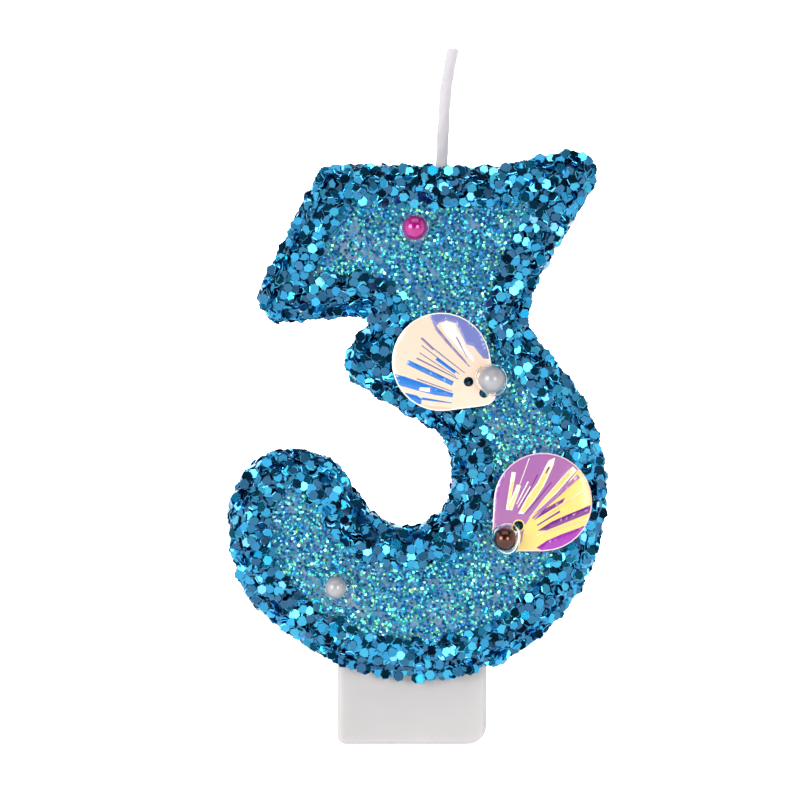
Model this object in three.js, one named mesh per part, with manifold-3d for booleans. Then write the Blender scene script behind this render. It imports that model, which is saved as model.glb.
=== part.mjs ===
// Number birthday candle: a figure three cast in wax on a push-in foot, with a cotton wick,
// a crust of chunky glitter round its edge, a coat of fine glitter on its face, and pearls and
// shell sequins glued on the front. Units are millimetres.
//
// The numeral is drawn upright in its own plane: x to the right, y up, z towards the front.
// y = 0 is the underside of the foot, x = 0 the foot's middle and z = 0 the wax's mid-plane.
// The exported group turns that plane upright, so the part has +Z up and faces -Y.
import * as THREE from "three";
import { mergeVertices } from "three/addons/utils/BufferGeometryUtils.js";
import Module from "manifold-3d";

const wasm = await Module();
wasm.setup();

// ---- Driving dimensions ----

const FIGURE_HEIGHT = 59.6; // the wax numeral, from the bottom of its bowl to the tip of its horn
const WAX_THICKNESS = 9;
const WAX_EDGE = 0.35; // rounding of the cast edges

const FOOT_WIDTH = 17.6;
const FOOT_STEP = 0.5; // how far the foot's front and back lie behind the numeral's
const FOOT_HEIGHT = 9; // from the underside to the bottom of the bowl
const FOOT_ROOT = 4; // how far the foot runs up into the bowl
const FOOT_LEFT_ROUND = 0.7;
const FOOT_RIGHT_ROUND = 2.2;

const FIT = 0.1; // clearance left between neighbouring pieces
const GLUE_COAT = 0.3; // glue under the chunky glitter
const CRUST = 1.1; // depth of the chunky glitter
const CRUST_EDGE = 0.9; // rounding of the crust's outer edges
const FRONT_LAP = 2.6; // how far glue and crust reach in over the front face
const BACK_LAP = 1.5;
const FACE_COAT = 0.7; // fine glitter in clear gel
const FACE_EDGE = 0.3;

const WICK_AT = { x: 3.5, y: 57.9 }; // where it leaves the top edge, on the drawn numeral
const WICK_DIAMETER = 1.4;
const WICK_EXPOSED = 15.7; // above the top edge of the wax
const WICK_BURIED = 21;
const WICK_LEAN = 1.3; // how far the tip leans to the right
const WICK_BORE_CLEARANCE = 0.3;

const SEQUIN_RADIUS = 5.8; // round fan of a shell sequin
const SEQUIN_HINGE = 7.7; // from the fan's centre to the hinge end
const SEQUIN_HINGE_ROUND = 1.6;
const SEQUIN_THICKNESS = 0.3;
const SEQUIN_HOLE = 1.15;
const SEQUIN_HOLE_EDGE = 1.45; // from the hinge end to the first hole's centre
const SEQUIN_HOLE_SPACING = 2.25;
const RIB_COUNT = 7;
const RIB_SPREAD = THREE.MathUtils.degToRad(56); // angle between the two outermost ribs
const RIB_WIDTH = 0.5;
const RIB_HEIGHT = 0.25;
const RIB_CENTRE_EDGE = 0.5; // from the hinge end to the point the ribs fan out from
const RIB_START = 4.4; // from that point to a rib's near end
const RIB_MARGIN = 0.7; // between a rib's far end and the fan's edge
const PAD_RADIUS = 1.7; // glue under a sequin
const COLLAR_WIDTH = 0.7; // glue round a pearl, beyond its seat
const COLLAR_SEAT = THREE.MathUtils.degToRad(62); // how far up the pearl the glue climbs

// ---- The numeral's outline ----

// A belt drawn tight round these discs, taken anticlockwise, is the outline of the wax. A hollow
// disc lies outside the wax, and the belt bends back round it. They are drawn for a numeral
// DRAWN_HEIGHT tall, with y = 0 at the bottom of the bowl.
const DRAWN_HEIGHT = 59.6;
const NUMERAL = [
  { part: "bowl", x: 0.7, y: 20.8, r: 20.8 },
  { part: "right notch", x: 17.7, y: 41.5, r: 5.6, hollow: true },
  { part: "flank below the horn", x: 25.4, y: 41.7, r: 13, hollow: true },
  { part: "horn", x: 19, y: 58.4, r: 1.2 },
  { part: "dip beside the horn", x: 8.5, y: 69.6, r: 12, hollow: true },
  { part: "top left corner", x: -9.2, y: 57.3, r: 0.6 },
  { part: "tip of the bar", x: -15.3, y: 44, r: 1.3 },
  { part: "notch under the bar", x: -6.1, y: 40.9, r: 2.5, hollow: true },
  { part: "nub at the waist", x: -4.8, y: 36.2, r: 1.5 },
  { part: "upper side of the eye", x: 0.4, y: 24.6, r: 5.9, hollow: true },
  { part: "bottom of the eye", x: -0.8, y: 22.2, r: 7.3, hollow: true },
  { part: "end of the hook", x: -14, y: 18.4, r: 5.8 },
  { part: "left side of the bowl", x: -8.1, y: 16, r: 11.9 },
];
const SCALE = FIGURE_HEIGHT / DRAWN_HEIGHT;
const onNumeral = (x, y) => new THREE.Vector2(x * SCALE, y * SCALE + FOOT_HEIGHT);

const ARC_STEP = THREE.MathUtils.degToRad(12);
const SMALLEST_ROUND = 0.15; // a corner that an inset would sharpen keeps this radius

// The outline of a belt round the discs, moved outwards by grow, as a list of points.
function belt(discs, grow = 0) {
  const around = discs.map(({ x, y, r, hollow }) => ({
    centre: new THREE.Vector2(x, y),
    reach: (hollow ? -r : r) + grow,
  }));
  const next = (i) => (i + 1) % around.length;
  // Each straight run touches two discs. Its outward normal leans by their difference in reach.
  const runs = around.map((a, i) => {
    const b = around[next(i)];
    const along = b.centre.clone().sub(a.centre);
    const lean = (a.reach - b.reach) / along.length();
    const e = along.normalize();
    const side = Math.sqrt(1 - lean * lean);
    const normal = new THREE.Vector2(e.x * lean + e.y * side, e.y * lean - e.x * side);
    return { normal, offset: normal.dot(a.centre) + a.reach };
  });
  const points = [];
  around.forEach((disc, i) => {
    const before = runs[(i + runs.length - 1) % runs.length];
    const after = runs[i];
    let { centre, reach } = disc;
    if (!discs[i].hollow && reach < SMALLEST_ROUND) {
      reach = SMALLEST_ROUND;
      centre = meeting(before, after, reach);
    }
    let turn = after.normal.angle() - before.normal.angle();
    if (turn < 0) turn += 2 * Math.PI;
    if (discs[i].hollow) turn -= 2 * Math.PI;
    const steps = Math.max(2, Math.ceil(Math.abs(turn) / ARC_STEP));
    for (let k = 0; k <= steps; k++) {
      const angle = before.normal.angle() + (turn * k) / steps;
      points.push(
        new THREE.Vector2(Math.cos(angle), Math.sin(angle)).multiplyScalar(reach).add(centre),
      );
    }
  });
  return points;
}

// The centre of a round that touches two straight runs from the inside.
function meeting(a, b, radius) {
  const det = a.normal.x * b.normal.y - a.normal.y * b.normal.x;
  const p = a.offset - radius;
  const q = b.offset - radius;
  return new THREE.Vector2(
    (p * b.normal.y - q * a.normal.y) / det,
    (q * a.normal.x - p * b.normal.x) / det,
  );
}

const placedNumeral = NUMERAL.map((disc) => {
  const at = onNumeral(disc.x, disc.y);
  return { ...disc, x: at.x, y: at.y, r: disc.r * SCALE };
});
const numeralShape = (grow) => new THREE.Shape(belt(placedNumeral, grow));

// ---- Solids ----

// A plate between two depths, with its edges rounded by edge. The outline is drawn by a function
// of how far it is moved outwards.
function plate(outline, grow, from, to, edge = 0, segments = 2) {
  const geometry = new THREE.ExtrudeGeometry(outline(grow - edge), {
    depth: to - from - 2 * edge,
    bevelEnabled: edge > 0,
    bevelThickness: edge,
    bevelSize: edge,
    bevelSegments: segments,
  });
  return geometry.translate(0, 0, from + edge);
}

function toSolid(geometry) {
  const bare = geometry.clone();
  bare.deleteAttribute("normal");
  bare.deleteAttribute("uv");
  const merged = mergeVertices(bare, 1e-4);
  return new wasm.Manifold(
    new wasm.Mesh({
      numProp: 3,
      vertProperties: merged.attributes.position.array,
      triVerts: new Uint32Array(merged.index.array),
    }),
  );
}

function toGeometry(solid) {
  const { vertProperties, triVerts } = solid.getMesh();
  const geometry = new THREE.BufferGeometry();
  geometry.setAttribute("position", new THREE.BufferAttribute(vertProperties, 3));
  geometry.setIndex(new THREE.BufferAttribute(triVerts, 1));
  geometry.computeVertexNormals();
  return geometry;
}

const cut = (from, ...tools) =>
  toGeometry(tools.reduce((left, tool) => left.subtract(toSolid(tool)), toSolid(from)));
const join = (...geometries) =>
  toGeometry(geometries.map(toSolid).reduce((all, one) => all.add(one)));

// ---- Wax and wick ----

const WAX_FACE = WAX_THICKNESS / 2;
const FOOT_FACE = WAX_FACE - FOOT_STEP;

function footShape(grow) {
  const half = FOOT_WIDTH / 2 + grow;
  const left = FOOT_LEFT_ROUND + grow;
  const right = FOOT_RIGHT_ROUND + grow;
  const shape = new THREE.Shape();
  shape.moveTo(-half, FOOT_HEIGHT + FOOT_ROOT);
  shape.lineTo(-half, left - grow);
  shape.absarc(-half + left, left - grow, left, Math.PI, 1.5 * Math.PI);
  shape.absarc(half - right, right - grow, right, 1.5 * Math.PI, 2 * Math.PI);
  shape.lineTo(half, FOOT_HEIGHT + FOOT_ROOT);
  return new THREE.Shape(shape.getPoints(6));
}

// The wick's line: straight up from its blind end, then a slow lean to its tip.
function wickCurve() {
  const exit = onNumeral(WICK_AT.x, WICK_AT.y);
  const above = (height, lean) => new THREE.Vector3(exit.x + lean, exit.y + height, 0);
  return new THREE.CatmullRomCurve3([
    above(-WICK_BURIED, -0.1 * WICK_LEAN),
    above(-WICK_BURIED / 2, -0.05 * WICK_LEAN),
    above(0, 0),
    above(WICK_EXPOSED * 0.3, 0.12 * WICK_LEAN),
    above(WICK_EXPOSED * 0.7, 0.42 * WICK_LEAN),
    above(WICK_EXPOSED - WICK_DIAMETER / 2, WICK_LEAN),
  ]);
}

function wickTube(radius, sides = 12) {
  const round = new THREE.Shape().absarc(0, 0, radius, 0, 2 * Math.PI);
  return new THREE.ExtrudeGeometry(new THREE.Shape(round.getPoints(sides / 2)), {
    steps: 16,
    bevelEnabled: false,
    extrudePath: wickCurve(),
  });
}

function wick() {
  const radius = WICK_DIAMETER / 2;
  const tip = wickCurve().getPoint(1);
  const dome = new THREE.SphereGeometry(radius * 0.98, 12, 8).translate(tip.x, tip.y, tip.z);
  return join(wickTube(radius), dome);
}

const wickBore = () => wickTube(WICK_DIAMETER / 2 + WICK_BORE_CLEARANCE);

function waxFigure() {
  const figure = plate(numeralShape, 0, -WAX_FACE, WAX_FACE, WAX_EDGE);
  const foot = plate(footShape, 0, -FOOT_FACE, FOOT_FACE, WAX_EDGE);
  return cut(join(figure, foot), wickBore());
}

// ---- Glitter and glue on the figure ----

// A jacket round the edge of the figure: it starts inner away from the wax, is thick deep, and
// laps in over the front and the back. The foot and the wick pass through it.
function jacket(inner, thick, edge) {
  const outer = WAX_FACE + inner + thick;
  const slot = FOOT_FACE + inner;
  const beyond = outer + 1;
  return cut(
    plate(numeralShape, inner + thick, -outer, outer, edge),
    plate(numeralShape, inner, -WAX_FACE - inner, WAX_FACE + inner),
    plate(numeralShape, -FRONT_LAP, WAX_FACE, beyond),
    plate(numeralShape, -BACK_LAP, -beyond, -WAX_FACE),
    plate(footShape, inner, -slot, slot),
    wickBore(),
  );
}

const glueCoat = () => jacket(FIT, GLUE_COAT, 0);
const CRUST_INNER = FIT + GLUE_COAT + FIT;
const crust = () => jacket(CRUST_INNER, CRUST, CRUST_EDGE);

const COAT_BACK = WAX_FACE + FIT;
const COAT_FACE = COAT_BACK + FACE_COAT;
const faceCoat = () =>
  plate(numeralShape, -FRONT_LAP - FIT, COAT_BACK, COAT_FACE, FACE_EDGE, 1);

// ---- Shell sequins ----

const SEQUIN_BACK = WAX_FACE + CRUST_INNER + CRUST + FIT;
const SEQUIN_FACE = SEQUIN_BACK + SEQUIN_THICKNESS;
const FIRST_HOLE = SEQUIN_HINGE - SEQUIN_HOLE_EDGE; // below the fan's centre
const RIB_CENTRE = SEQUIN_HINGE - RIB_CENTRE_EDGE;

function sequinShape() {
  const shape = new THREE.Shape(
    belt([
      { x: 0, y: 0, r: SEQUIN_RADIUS },
      { x: 0, y: SEQUIN_HINGE_ROUND - SEQUIN_HINGE, r: SEQUIN_HINGE_ROUND },
    ]),
  );
  for (const y of [-FIRST_HOLE, SEQUIN_HOLE_SPACING - FIRST_HOLE]) {
    const hole = new THREE.Path().absarc(0, y, SEQUIN_HOLE / 2, 0, 2 * Math.PI, true);
    shape.holes.push(new THREE.Path(hole.getPoints(6)));
  }
  return shape;
}

// One raised rib of the shell, a thin wedge that fans out from the hinge end.
function rib(angle) {
  const across = RIB_CENTRE * Math.sin(angle);
  const rim = RIB_CENTRE * Math.cos(angle) + Math.sqrt(SEQUIN_RADIUS ** 2 - across ** 2);
  const end = rim - RIB_MARGIN;
  const wedge = () =>
    new THREE.Shape([
      new THREE.Vector2(-RIB_WIDTH / 4, RIB_START),
      new THREE.Vector2(RIB_WIDTH / 4, RIB_START),
      new THREE.Vector2(RIB_WIDTH / 2, end),
      new THREE.Vector2(-RIB_WIDTH / 2, end),
    ]);
  return plate(wedge, 0, SEQUIN_FACE - SEQUIN_THICKNESS / 2, SEQUIN_FACE + RIB_HEIGHT)
    .rotateZ(angle)
    .translate(0, -RIB_CENTRE, 0);
}

function sequin() {
  const ribs = [];
  for (let i = 0; i < RIB_COUNT; i++) {
    ribs.push(rib(RIB_SPREAD * (i / (RIB_COUNT - 1) - 0.5)));
  }
  return join(plate(sequinShape, 0, SEQUIN_BACK, SEQUIN_FACE), ...ribs);
}

function sequinPad() {
  const from = COAT_FACE + FIT;
  const height = SEQUIN_BACK - FIT - from;
  return new THREE.CylinderGeometry(PAD_RADIUS, PAD_RADIUS * 1.15, height, 16)
    .rotateX(Math.PI / 2)
    .translate(0, 0, from + height / 2);
}

// ---- Pearls ----

const pearl = (radius) => new THREE.SphereGeometry(radius, 16, 10).rotateX(Math.PI / 2);

// A ring of glue that climbs the pearl from the surface it sits on.
function collar(radius) {
  const seat = radius + 2 * FIT;
  const foot = Math.sin(Math.PI / 7) * seat + COLLAR_WIDTH;
  const profile = [];
  for (let k = 0; k <= 4; k++) {
    const angle = COLLAR_SEAT * (0.45 + (0.55 * k) / 4);
    profile.push(new THREE.Vector2(Math.sin(angle) * seat, radius + FIT - Math.cos(angle) * seat));
  }
  const top = profile[4];
  const outside = Math.max(foot, top.x + COLLAR_WIDTH * 0.6);
  profile.push(new THREE.Vector2((top.x + outside) / 2 + 0.05, top.y * 0.45));
  profile.push(new THREE.Vector2(outside, FIT / 2));
  profile.push(new THREE.Vector2(profile[0].x, FIT / 2));
  profile.push(profile[0].clone());
  return new THREE.LatheGeometry(profile.reverse(), 16).rotateX(Math.PI / 2);
}

// ---- Materials ----

const material = (color, roughness, metalness = 0, opacity = 1) =>
  new THREE.MeshStandardMaterial({
    color,
    roughness,
    metalness,
    opacity,
    transparent: opacity < 1,
  });
const WAX = material(0xe9e6e6, 0.45);
const COTTON = material(0xdedad9, 0.6);
const GLUE = material(0xdce8ee, 0.15, 0, 0.4);
const CHUNKY = material(0x0f7fb4, 0.25, 0.9);
const FINE = material(0x5c98ba, 0.3, 0.5);
const CREAM_FILM = material(0xf6dfc4, 0.15, 0.4);
const VIOLET_FILM = material(0xb765b4, 0.15, 0.4);
const MAGENTA = material(0xb81f83, 0.25);
const PEARL_WHITE = material(0xc9c6cc, 0.25);
const COPPER = material(0x5a3020, 0.2, 0.3);

// ---- Assembly ----

function piece(name, geometry, finish) {
  const mesh = new THREE.Mesh(geometry, finish);
  mesh.name = name;
  return mesh;
}

const candle = new THREE.Group();
candle.rotation.x = Math.PI / 2;
candle.add(
  piece("wax_figure", waxFigure(), WAX),
  piece("wick", wick(), COTTON),
  piece("edge_glue_coat", glueCoat(), GLUE),
  piece("chunky_glitter_border", crust(), CHUNKY),
  piece("fine_glitter_face", faceCoat(), FINE),
);

// A sequin with its glue pad, placed by its fan's centre and turned anticlockwise from upright.
function addSequin(where, x, y, turned, finish) {
  const group = new THREE.Group();
  const at = onNumeral(x, y);
  group.position.set(at.x, at.y, 0);
  group.rotation.z = THREE.MathUtils.degToRad(turned);
  const pad = piece("glue_pad_" + where, sequinPad(), GLUE);
  pad.position.y = -PAD_RADIUS;
  group.add(piece("shell_sequin_" + where, sequin(), finish), pad);
  candle.add(group);
  return group;
}

// A pearl with its glue collar, on a surface at depth z of its parent.
function addPearl(parent, name, diameter, x, y, z, finish) {
  const radius = diameter / 2;
  const ball = piece("pearl_" + name, pearl(radius), finish);
  ball.position.set(x, y, z + FIT + radius);
  const ring = piece("glue_collar_" + name, collar(radius), GLUE);
  ring.position.set(x, y, z);
  parent.add(ball, ring);
}

const upper = addSequin("upper", 3.4, 36.2, 54, CREAM_FILM);
const lower = addSequin("lower", 15.4, 19.7, -46, VIOLET_FILM);
addPearl(upper, "white_upper", 3.2, 1.8, 0.2 - FIRST_HOLE, SEQUIN_FACE, PEARL_WHITE);
addPearl(lower, "copper", 2.8, 0, -FIRST_HOLE, SEQUIN_FACE, COPPER);

const magenta = onNumeral(0.3, 52);
addPearl(candle, "magenta", 3, magenta.x, magenta.y, COAT_FACE, MAGENTA);
const low = onNumeral(-9, 9.6);
addPearl(candle, "white_lower", 2.5, low.x, low.y, COAT_FACE, PEARL_WHITE);

export default candle;
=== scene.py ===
"""Looks of the number birthday candle: real glitter flakes, shell sequins, pearls, glue and wax.

Lengths are in mm, and mesh_object turns them into Blender's metres. The room's are in metres.
"""
import math

import bpy
import numpy as np
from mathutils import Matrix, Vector, geometry


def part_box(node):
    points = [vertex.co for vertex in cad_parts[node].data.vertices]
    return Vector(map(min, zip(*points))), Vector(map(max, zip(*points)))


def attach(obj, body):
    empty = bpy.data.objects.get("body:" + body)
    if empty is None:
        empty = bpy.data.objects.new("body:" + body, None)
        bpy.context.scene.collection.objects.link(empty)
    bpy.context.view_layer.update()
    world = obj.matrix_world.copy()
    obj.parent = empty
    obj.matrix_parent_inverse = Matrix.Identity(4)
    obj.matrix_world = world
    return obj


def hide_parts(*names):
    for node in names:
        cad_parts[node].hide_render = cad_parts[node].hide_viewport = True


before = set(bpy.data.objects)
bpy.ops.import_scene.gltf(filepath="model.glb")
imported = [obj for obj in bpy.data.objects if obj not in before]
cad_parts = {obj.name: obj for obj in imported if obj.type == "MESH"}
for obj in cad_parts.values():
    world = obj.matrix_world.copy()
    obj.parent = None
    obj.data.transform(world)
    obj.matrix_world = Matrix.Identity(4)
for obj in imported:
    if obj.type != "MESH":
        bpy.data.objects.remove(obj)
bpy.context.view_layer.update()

MM = 0.001
RNG = np.random.default_rng(3)
Y, Z = 1, 2


# ---- Outlines ----

def unit(vectors):
    return vectors / np.linalg.norm(vectors, axis=1)[:, None]


def on_circle(angles):
    return np.stack([np.cos(angles), np.sin(angles)], 1)


def anticlockwise(loop):
    x, z = loop.T
    area = np.sum(x * np.roll(z, -1) - z * np.roll(x, -1))
    return loop if area > 0 else loop[::-1]


def inward(loop):
    """The direction into the shape at each point of an anticlockwise outline."""
    along = np.roll(loop, -1, 0) - np.roll(loop, 1, 0)
    return unit(np.stack([-along[:, 1], along[:, 0]], 1))


def resampled(loop, spacing, smoothing):
    """A closed outline with evenly spaced points, rounded a little."""
    ring = np.vstack([loop, loop[:1]])
    run = np.concatenate([[0], np.cumsum(np.hypot(*np.diff(ring, axis=0).T))])
    places = np.linspace(0, run[-1], int(run[-1] / spacing), endpoint=False)
    points = np.stack([np.interp(places, run, ring[:, k]) for k in (0, 1)], 1)
    for _ in range(smoothing):
        points = points * 0.5 + (np.roll(points, 1, 0) + np.roll(points, -1, 0)) * 0.25
    return anticlockwise(points)


def polygon_holds(polygon, points):
    """Which points lie inside a closed outline."""
    x, z = points.T
    odd = np.zeros(len(points), bool)
    for p, q in zip(polygon, np.roll(polygon, -1, 0)):
        if p[1] != q[1]:
            crosses = (p[1] > z) != (q[1] > z)
            odd ^= crosses & (x < p[0] + (z - p[1]) * (q[0] - p[0]) / (q[1] - p[1]))
    return odd


def gap_to(points, loop):
    """Distance from each point to a closed outline."""
    best = np.full(len(points), np.inf)
    for p, q in zip(loop, np.roll(loop, -1, 0)):
        d = q - p
        w = points - p
        t = np.clip(w @ d / max(d @ d, 1e-9), 0, 1)
        best = np.minimum(best, ((w - t[:, None] * d) ** 2).sum(1))
    return np.sqrt(best)


# ---- Reading the frame ----

def mesh_arrays(node):
    """A CAD node's corner points in mm, with shared corners joined, and its triangles."""
    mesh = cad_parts[node].data
    co = np.empty(len(mesh.vertices) * 3)
    mesh.vertices.foreach_get("co", co)
    points, first = np.unique((co.reshape(-1, 3) / MM).round(4), axis=0, return_inverse=True)
    mesh.calc_loop_triangles()
    tri = np.empty(len(mesh.loop_triangles) * 3, np.int32)
    mesh.loop_triangles.foreach_get("vertices", tri)
    return points, first.reshape(-1)[tri].reshape(-1, 3)


def section(node, axis, at):
    """The closed outlines where a CAD node is cut across an axis, largest first, in mm."""
    points, triangles = mesh_arrays(node)
    keep = [k for k in range(3) if k != axis]
    side = points[:, axis] > at
    links = {}
    for corners in triangles[side[triangles].any(1) & ~side[triangles].all(1)]:
        cut = [
            tuple(sorted((int(a), int(b))))
            for a, b in zip(corners, np.roll(corners, -1))
            if side[a] != side[b]
        ]
        links.setdefault(cut[0], []).append(cut[1])
        links.setdefault(cut[1], []).append(cut[0])
    loops = []
    while links:
        key = next(iter(links))
        loop = []
        while key in links:
            a, b = points[key[0]], points[key[1]]
            part = (at - a[axis]) / (b[axis] - a[axis])
            loop.append((a + (b - a) * part)[keep])
            following = [k for k in links.pop(key) if k in links]
            key = following[0] if following else None
        loops.append(np.array(loop))
    return sorted(loops, key=lambda l: -np.ptp(l, axis=0).max())


def box_mm(node):
    """A CAD node's lowest and highest corners in mm."""
    lo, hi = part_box(node)
    return np.array(lo) / MM, np.array(hi) / MM


WAX_BACK = box_mm("wax_figure")[1][Y]
CRUST_LO, CRUST_HI = box_mm("chunky_glitter_border")
CRUST_FRONT = -CRUST_LO[Y]
GEL_LO, GEL_HI = box_mm("fine_glitter_face")
GEL_FRONT = -GEL_LO[Y]

OUTLINE = resampled(section("chunky_glitter_border", Y, WAX_BACK + 0.05)[0], 0.25, 3)
FRONT_WINDOW = resampled(section("fine_glitter_face", Y, (GEL_LO[Y] + GEL_HI[Y]) / 2)[0], 0.4, 1)
BACK_WINDOW = resampled(section("chunky_glitter_border", Y, CRUST_HI[Y] - 0.6)[1], 0.4, 1)
CORE = resampled(section("wax_figure", Y, WAX_BACK - 0.2)[0], 0.5, 1)


def wick_centreline():
    """Middle of the CAD wick at even heights, bottom to top."""
    lo, hi = box_mm("wick")
    line = []
    for z in np.linspace(lo[Z] + 0.3, hi[Z] - 0.5, 40):
        loop = section("wick", Z, float(z))[0]
        middle = (loop.max(0) + loop.min(0)) / 2
        line.append([middle[0], middle[1], z])
    line.append([line[-1][0] + 0.04, line[-1][1], hi[Z] - 0.02])
    return np.array(line)


WICK_LINE = wick_centreline()
WICK_EXIT = WICK_LINE[np.argmin(np.abs(WICK_LINE[:, Z] - (CRUST_HI[Z] - 2)))]
FOOT_HALF, FOOT_DEPTH = section("wax_figure", Z, 4.0)[0].max(0)


# ---- Sizes of the glitter ----

CHUNKY = 0.66  # from a chunky flake's middle to its corner
CHUNKY_SPREAD = 0.92, 1.06  # smallest and largest, as shares of that
CHUNKY_THICK = 0.06
CHUNKY_RIM = 0.07
STANDING = 0.58  # share of the edge's flakes that stand on end in the glue
FINE = 0.2
FINE_SPREAD = 0.75, 1.1
FINE_THICK = 0.025
FINE_RIM = 0.03
FINE_SORTS = (
    ("fine_blue_flakes", 0, 0.38),
    ("fine_teal_flakes", 0.38, 0.76),
    ("fine_pale_flakes", 0.76, 1),
)

BED_WALL = 0.9  # how far the wall of the bed lies inside the outline
BED_FACE = CRUST_FRONT - 0.5
BED_ROUND_IN = 1.9
BED_ROUND_DOWN = 2.1
LAP_FRONT = 4.2  # width of the chunky border on the front, from the outline in
LAP_BACK = 3.1

PLACES_TRIED = 4
TRIED_WITHIN = 0.6
CLEAR_BESIDE_FOOT = 0.2
CLEAR_BEFORE_FOOT = 0.35
CLEAR_OF_WICK = 1.1


# ---- Depth inside the figure's outline, on a grid ----

CELL = 0.1
FINE_CELL = CELL / 2
GRID_LO = OUTLINE.min(0) - 1.5
GRID_SIZE = np.ceil((OUTLINE.max(0) + 1.5 - GRID_LO) / (2 * CELL)).astype(int)


def inside_distance(points):
    """How far each point lies inside the outline. It is negative outside."""
    loop = OUTLINE[::2]
    return np.where(polygon_holds(loop, points), 1, -1) * gap_to(points, loop)


def depth_grid():
    """inside_distance on the grid, taken every other cell and filled in between."""
    nx, nz = GRID_SIZE
    x = GRID_LO[0] + np.arange(nx + 1) * 2 * CELL
    z = GRID_LO[1] + np.arange(nz + 1) * 2 * CELL
    xx, zz = np.meshgrid(x, z, indexing="ij")
    coarse = inside_distance(np.stack([xx.ravel(), zz.ravel()], 1)).reshape(xx.shape)
    fine = np.empty((2 * nx + 1, 2 * nz + 1))
    fine[::2, ::2] = coarse
    fine[1::2, ::2] = (coarse[1:] + coarse[:-1]) / 2
    fine[:, 1::2] = (fine[:, 2::2] + fine[:, :-1:2]) / 2
    return fine


DEPTH = depth_grid()
GRID_HI = GRID_LO + np.array(DEPTH.shape) * CELL


def depth_at(points):
    at = ((points - GRID_LO) / CELL).astype(int)
    at = np.clip(at, 0, np.array(DEPTH.shape) - 1)
    return DEPTH[at[:, 0], at[:, 1]]


# ---- Flakes ----

HEX = on_circle(np.arange(6) * math.pi / 3)
SIDES = on_circle(math.pi / 6 + np.arange(3) * math.pi / 3)
FLAT_HALF = 0.866  # from a hexagon's middle to its side, for a corner at 1
FEEL = np.vstack([[0, 0], HEX * 0.95, HEX * 0.5, (HEX + np.roll(HEX, -1, 0)) * 0.45])
FEEL_SPREAD = (FEEL[:, 0] ** 2).sum()
SINK = 4  # a flake sinks into the wet glue until this many of the points under it touch


def settle(base, low, cell, spots, sizes, thickness, wobble, steepest):
    """Lets hexagonal flakes fall one after another on a height grid, each lying on those before it.

    spots holds some places for each flake, and it takes the lowest. Returns each flake's place,
    height, slopes and turn.
    """
    height = base.copy()
    top = np.array(height.shape) - 1

    def cells(points, more=0):
        return np.clip(((points - low) / cell).astype(int) + more, 0, top)

    turns = RNG.uniform(0, math.pi / 3, len(spots))
    sway = RNG.normal(0, wobble, (len(spots), 2))
    found = np.empty((len(spots), 6))
    for i, (pair, size, turn) in enumerate(zip(spots, sizes, turns)):
        spot = pair[np.argmin(height[tuple(cells(pair).T)])]
        c, s = math.cos(turn), math.sin(turn)
        spin = np.array([[c, s], [-s, c]])
        feel = FEEL @ spin * size
        felt = height[tuple(cells(spot + feel).T)]
        slope = (felt - felt.mean()) @ feel / (FEEL_SPREAD * size * size) + sway[i]
        steep = math.hypot(*slope)
        if steep > steepest:
            slope *= steepest / steep
        level = np.sort(felt - feel @ slope)[-SINK]
        found[i] = (*spot, level + thickness / 2, *slope, turn)
        first, last = cells(spot - size), cells(spot + size, 2)
        gx = low[0] + (np.arange(first[0], last[0]) + 0.5) * cell - spot[0]
        gz = low[1] + (np.arange(first[1], last[1]) + 0.5) * cell - spot[1]
        xx, zz = np.meshgrid(gx, gz, indexing="ij")
        rims = SIDES @ spin
        reach = np.maximum.reduce([abs(xx * r[0] + zz * r[1]) for r in rims])
        heap = height[first[0]:last[0], first[1]:last[1]]
        lid = level + thickness + slope[0] * xx + slope[1] * zz
        under = reach < size * FLAT_HALF
        heap[under] = np.maximum(heap[under], lid[under])
    return found


def mesh_object(name, points, faces, uv=None, attributes=None, smooth=False):
    """A Blender object from points in mm. attributes holds a value for each face."""
    mesh = bpy.data.meshes.new(name)
    mesh.from_pydata((np.asarray(points) * MM).tolist(), [], faces)
    for key, values in (attributes or {}).items():
        mesh.attributes.new(key, "FLOAT", "FACE").data.foreach_set("value", values)
    if uv is not None:
        mesh.uv_layers.new(name="OFBake").data.foreach_set("uv", np.asarray(uv, np.float32).ravel())
    if smooth:
        mesh.polygons.foreach_set("use_smooth", [True] * len(mesh.polygons))
    mesh.update()
    obj = bpy.data.objects.new(name, mesh)
    bpy.context.scene.collection.objects.link(obj)
    return obj


FLAKE_FACES = [
    list(range(6)),
    list(range(11, 5, -1)),
    *([k, 6 + k, 6 + (k + 1) % 6, (k + 1) % 6] for k in range(6)),
]


def flakes(name, centre, across, along, normal, sizes, thickness, rim, tints):
    """A mesh of hexagonal flakes, each a thin plate with a sloping rim, in its own axes."""
    n = len(centre)
    upper = HEX[None] * (1 - rim / sizes[:, None, None])
    flat = np.concatenate([upper, np.repeat(HEX[None], n, 0)], 1) * sizes[:, None, None]
    rise = np.concatenate([np.full(6, thickness / 2), np.full(6, -thickness / 2)])
    points = (
        centre[:, None]
        + flat[..., :1] * across[:, None]
        + flat[..., 1:] * along[:, None]
        + rise[None, :, None] * normal[:, None]
    )
    faces = [[12 * i + k for k in face] for i in range(n) for face in FLAKE_FACES]
    columns = math.ceil(math.sqrt(n))
    corner = np.stack([np.arange(n) % columns, np.arange(n) // columns], 1)
    spread = np.concatenate([HEX * 0.26, HEX * 0.4]) + 0.5
    order = np.concatenate([np.array(face) for face in FLAKE_FACES])
    uv = (corner[:, None] + spread[order][None]) / columns
    attributes = {"tint": np.repeat(tints, len(FLAKE_FACES))}
    return mesh_object(name, points.reshape(-1, 3), faces, uv, attributes)


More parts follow.
